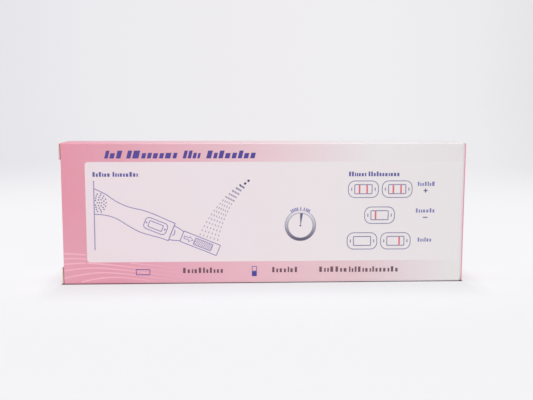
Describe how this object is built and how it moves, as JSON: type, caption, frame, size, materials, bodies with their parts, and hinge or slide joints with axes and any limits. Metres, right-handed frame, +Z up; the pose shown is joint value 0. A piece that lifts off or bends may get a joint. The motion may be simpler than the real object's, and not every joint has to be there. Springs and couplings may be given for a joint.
{
  "type": "folding carton for a midstream test stick",
  "caption": "Flat printed folding carton with reversed tuck lids, holding a sealed foil pouch and a folded leaflet.",
  "frame": {"origin": "centre of the carton's footprint, on the floor it stands on", "axes": "+X along the carton's length towards the lid that hinges on the front panel, -Y out of the printed front panel, +Z up"},
  "size_m": [0.155, 0.016, 0.054],
  "materials": {
    "printed_board": "satin varnished print over white-lined board",
    "lid_board": "satin varnished print over white-lined board",
    "foil": "creased foil laminate",
    "leaflet_paper": "matt, printed in grey"
  },
  "bodies": {
    "tube": {"carton": "printed_board", "foil_pouch": "foil", "leaflet": "leaflet_paper"},
    "left_flap": {"left_lid": "lid_board"},
    "right_flap": {"right_lid": "lid_board"}
  },
  "joints": [
    {"name": "left_lid_hinge", "type": "hinge", "parent": "tube", "child": "left_flap", "pos_m": [-0.07705, 0.00755, 0.027], "axis": [0, 0, -1], "range_deg": [0, 180]},
    {"name": "right_lid_hinge", "type": "hinge", "parent": "tube", "child": "right_flap", "pos_m": [0.07705, -0.00755, 0.027], "axis": [0, 0, -1], "range_deg": [0, 180]}
  ]
}
